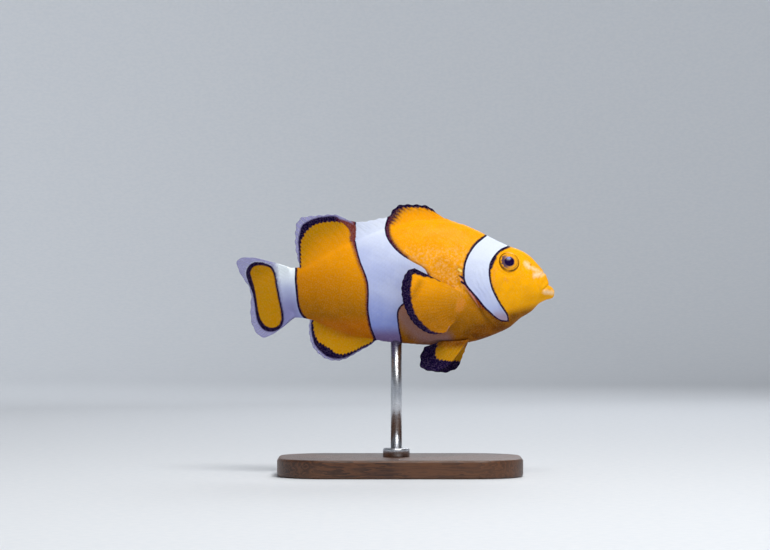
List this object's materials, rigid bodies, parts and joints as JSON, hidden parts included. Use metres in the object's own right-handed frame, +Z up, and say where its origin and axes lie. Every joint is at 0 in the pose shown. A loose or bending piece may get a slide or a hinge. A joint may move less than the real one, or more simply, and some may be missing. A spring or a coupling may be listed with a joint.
{
  "type": "clownfish",
  "caption": "Life-size common clownfish with white bands and black-edged rounded fins, tail curved to one side, on a plain display stand.",
  "frame": {"origin": "middle of the stand's underside, on the floor", "axes": "+X towards the snout, +Y towards the fish's left side and the side its tail curves to, +Z up"},
  "size_m": [0.0867, 0.042, 0.0733],
  "materials": {
    "skin": "moist scaled skin, orange with black-edged white bands",
    "fin": "thin rayed skin, orange with a black margin and a pale rim",
    "eye": "wet, clear cornea over a golden iris",
    "walnut": "satin oiled walnut",
    "steel": "satin"
  },
  "bodies": {
    "root": {"head": "skin", "lower_jaw": "skin", "gill_cover_right": "skin", "gill_cover_left": "skin", "trunk": "skin", "tail": "skin", "dorsal_fin_front": "fin", "dorsal_fin_rear": "fin", "anal_fin": "fin", "tail_fin": "fin", "pectoral_fin_right": "fin", "pectoral_fin_left": "fin", "pelvic_fin_right": "fin", "pelvic_fin_left": "fin", "eye_right": "eye", "eye_left": "eye", "stand_base": "walnut", "stand_collar": "steel", "stand_rod": "steel"}
  },
  "joints": []
}
